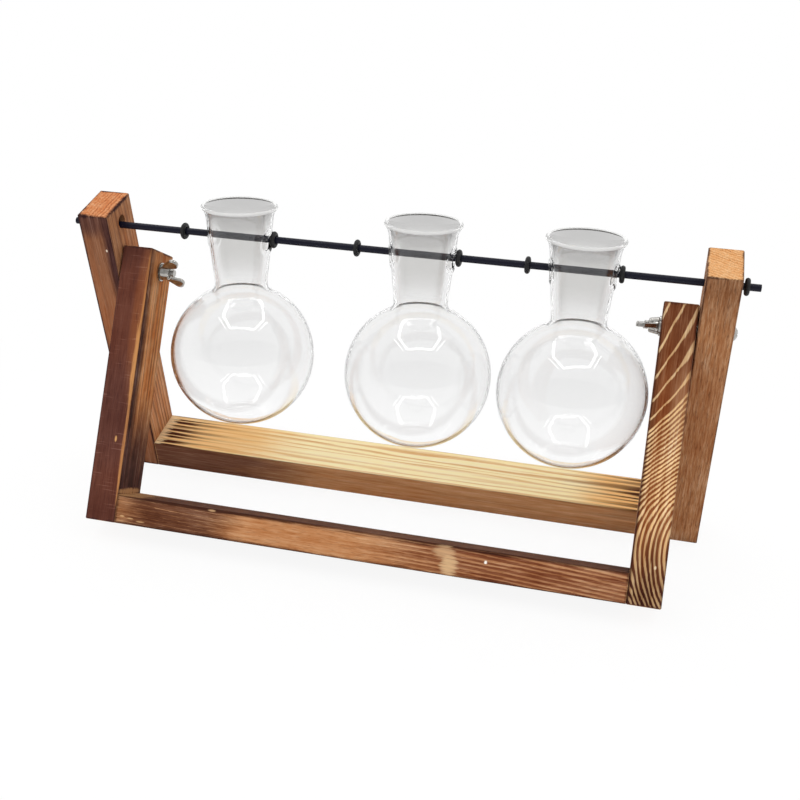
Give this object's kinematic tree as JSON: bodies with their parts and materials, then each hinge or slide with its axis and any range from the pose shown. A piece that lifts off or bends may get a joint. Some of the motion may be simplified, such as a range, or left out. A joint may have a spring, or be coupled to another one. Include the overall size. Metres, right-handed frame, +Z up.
{
  "type": "propagation vase",
  "caption": "Folding torched-pine stand with round glass flasks hung by their necks on a black rod, for rooting cuttings in water.",
  "frame": {"origin": "on the standing surface, under the middle of the overall box", "axes": "+X along the hanging rod to the viewer's right, +Y away from the viewer, +Z up"},
  "size_m": [0.317, 0.1054, 0.1539],
  "materials": {
    "torched_pine": "torched and lightly sealed pine",
    "plain_beech": "plain turned dowel",
    "bright_zinc": "bright zinc plating",
    "black_lacquer": "satin black lacquer on steel",
    "black_rubber": "moulded rubber",
    "clear_glass": "clear blown glass"
  },
  "bodies": {
    "tall_frame": {"left_tall_post": "torched_pine", "right_tall_post": "torched_pine", "rear_rail": "torched_pine", "rear_rail_left_front_dowel": "plain_beech", "rear_rail_left_back_dowel": "plain_beech", "rear_rail_right_front_dowel": "plain_beech", "rear_rail_right_back_dowel": "plain_beech", "left_pivot_bolt": "bright_zinc", "right_pivot_bolt": "bright_zinc"},
    "short_frame": {"left_short_leg": "torched_pine", "right_short_leg": "torched_pine", "front_rail": "torched_pine", "front_rail_left_front_dowel": "plain_beech", "front_rail_left_back_dowel": "plain_beech", "front_rail_right_front_dowel": "plain_beech", "front_rail_right_back_dowel": "plain_beech"},
    "rod": {"hanging_rod": "black_lacquer", "left_end_ring": "black_rubber", "right_end_ring": "black_rubber"},
    "left_rings": {"left_flask_free_ring": "black_rubber", "left_flask_stop_ring": "black_rubber"},
    "left_flask": {"left_flask": "clear_glass"},
    "middle_rings": {"middle_flask_free_ring": "black_rubber", "middle_flask_stop_ring": "black_rubber"},
    "middle_flask": {"middle_flask": "clear_glass"},
    "right_rings": {"right_flask_free_ring": "black_rubber", "right_flask_stop_ring": "black_rubber"},
    "right_flask": {"right_flask": "clear_glass"},
    "left_washer": {"left_washer": "bright_zinc"},
    "left_wing_nut": {"left_wing_nut": "bright_zinc"},
    "right_washer": {"right_washer": "bright_zinc"},
    "right_wing_nut": {"right_wing_nut": "bright_zinc"}
  },
  "joints": [
    {"name": "fold", "type": "hinge", "parent": "tall_frame", "child": "short_frame", "pos_m": [0, 0.0106, 0.11547], "axis": [-1, 0, 0], "range_deg": [-25.9, 102]},
    {"name": "rod_spin", "type": "hinge", "parent": "tall_frame", "child": "rod", "pos_m": [0, 0.00431, 0.13894], "axis": [1, 0, 0], "continuous": true},
    {"name": "left_flask_shift", "type": "slide", "parent": "tall_frame", "child": "left_rings", "axis": [1, 0, 0], "range_m": [-0.0085, 0.0085]},
    {"name": "left_flask_swing", "type": "hinge", "parent": "left_rings", "child": "left_flask", "pos_m": [0, 0.00431, 0.13894], "axis": [1, 0, 0], "continuous": true},
    {"name": "middle_flask_shift", "type": "slide", "parent": "tall_frame", "child": "middle_rings", "axis": [1, 0, 0], "range_m": [-0.0085, 0.0015]},
    {"name": "middle_flask_swing", "type": "hinge", "parent": "middle_rings", "child": "middle_flask", "pos_m": [0, 0.00431, 0.13894], "axis": [1, 0, 0], "continuous": true},
    {"name": "right_flask_shift", "type": "slide", "parent": "tall_frame", "child": "right_rings", "axis": [1, 0, 0], "range_m": [-0.0015, 0.0006]},
    {"name": "right_flask_swing", "type": "hinge", "parent": "right_rings", "child": "right_flask", "pos_m": [0, 0.00431, 0.13894], "axis": [1, 0, 0], "continuous": true},
    {"name": "left_nut_turn", "type": "hinge", "parent": "left_washer", "child": "left_wing_nut", "pos_m": [0, 0.0106, 0.11547], "axis": [-1, 0, 0], "range_deg": [0, 720]},
    {"name": "left_nut_travel", "type": "slide", "parent": "tall_frame", "child": "left_washer", "axis": [1, 0, 0], "range_m": [0, 0.0014]},
    {"name": "right_nut_turn", "type": "hinge", "parent": "right_washer", "child": "right_wing_nut", "pos_m": [0, 0.0106, 0.11547], "axis": [1, 0, 0], "range_deg": [0, 720]},
    {"name": "right_nut_travel", "type": "slide", "parent": "tall_frame", "child": "right_washer", "axis": [-1, 0, 0], "range_m": [0, 0.0014]}
  ],
  "couplings": [
    {"joint": "left_nut_turn", "follows": "left_nut_travel", "rad_per_m": 8976},
    {"joint": "right_nut_turn", "follows": "right_nut_travel", "rad_per_m": 8976}
  ]
}
